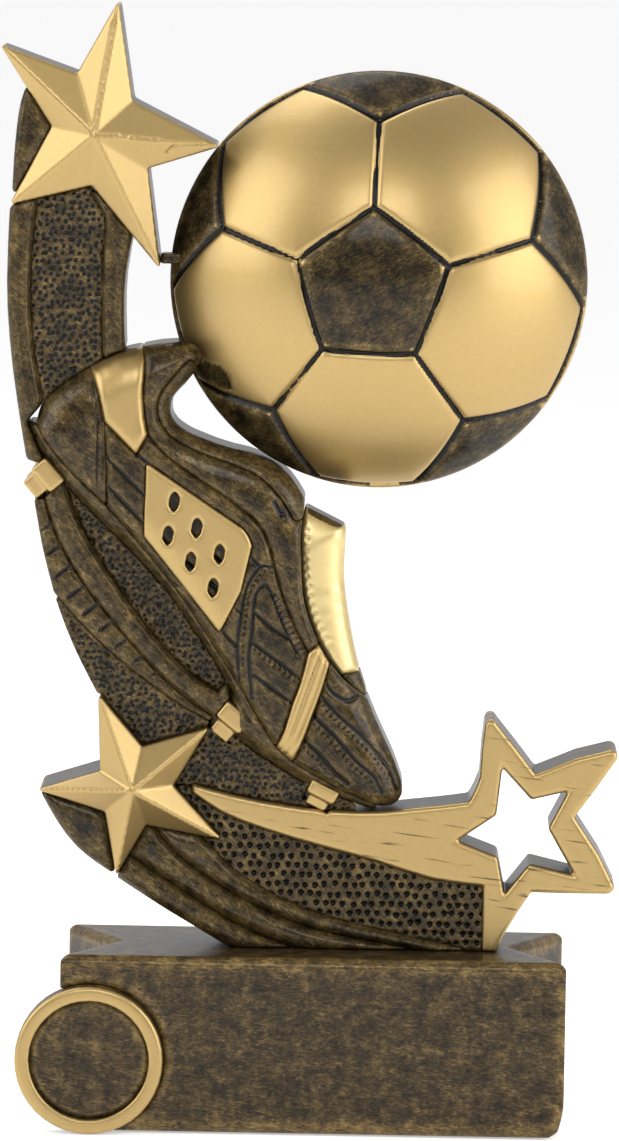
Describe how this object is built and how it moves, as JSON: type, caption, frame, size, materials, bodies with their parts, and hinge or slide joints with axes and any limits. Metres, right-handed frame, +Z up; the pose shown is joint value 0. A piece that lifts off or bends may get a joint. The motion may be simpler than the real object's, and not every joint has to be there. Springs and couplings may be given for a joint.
{
  "type": "figure trophy",
  "caption": "Football figure trophy: a crescent with three five-point stars, a relief ball and a boot over a notched block base with a disc seat.",
  "frame": {"origin": "middle of the base's underside, on the surface the trophy stands on", "axes": "+Z up, -Y is the front that shows the ball and boot, +X to the viewer's right"},
  "size_m": [0.1312, 0.0545, 0.2352],
  "materials": {
    "dark_resin": "satin",
    "antique_gold": "satin",
    "felt": "matte",
    "steel": "satin"
  },
  "bodies": {
    "root": {"base_block": "dark_resin", "felt_pad": "felt", "medal_boss": "dark_resin", "medal_ring": "antique_gold", "fixing_screw_left": "steel", "fixing_screw_right": "steel", "crescent_tip": "dark_resin", "crescent_outer_rim": "dark_resin", "crescent_inner_rim": "dark_resin", "crescent_net_panel": "dark_resin", "ladder_band": "dark_resin", "smooth_band": "dark_resin", "heel_recess_panel": "dark_resin", "outer_net_panel": "dark_resin", "toe_net_panel": "dark_resin", "keel_tip": "dark_resin", "keel_outer_band": "dark_resin", "keel_middle_band": "dark_resin", "keel_inner_band": "dark_resin", "tail_bead_panel": "dark_resin", "shooting_star": "antique_gold", "lower_star": "antique_gold", "upper_star": "antique_gold", "star_bridge": "dark_resin", "upper_star_dowel": "steel", "lower_star_dowel": "steel", "ball_core": "dark_resin", "ball_front_pentagon": "dark_resin", "ball_front_hexagon_1": "antique_gold", "ball_front_hexagon_2": "antique_gold", "ball_front_hexagon_3": "antique_gold", "ball_front_hexagon_4": "antique_gold", "ball_front_hexagon_5": "antique_gold", "ball_back_pentagon": "dark_resin", "ball_back_hexagon_1": "antique_gold", "ball_back_hexagon_2": "antique_gold", "ball_back_hexagon_3": "antique_gold", "ball_back_hexagon_4": "antique_gold", "ball_back_hexagon_5": "antique_gold", "heel_counter": "dark_resin", "heel_stripe": "antique_gold", "ankle_panel": "dark_resin", "collar_band": "dark_resin", "boot_quarter": "dark_resin", "side_panel_front": "antique_gold", "side_panel_back": "antique_gold", "instep_strap": "antique_gold", "toe_cap": "dark_resin", "tongue": "antique_gold", "tongue_tip": "dark_resin", "sole_plate": "dark_resin", "stud_heel_front": "antique_gold", "stud_heel_back": "antique_gold", "stud_middle_front": "antique_gold", "stud_middle_back": "antique_gold", "stud_toe_front": "antique_gold", "stud_toe_back": "antique_gold"}
  },
  "joints": []
}
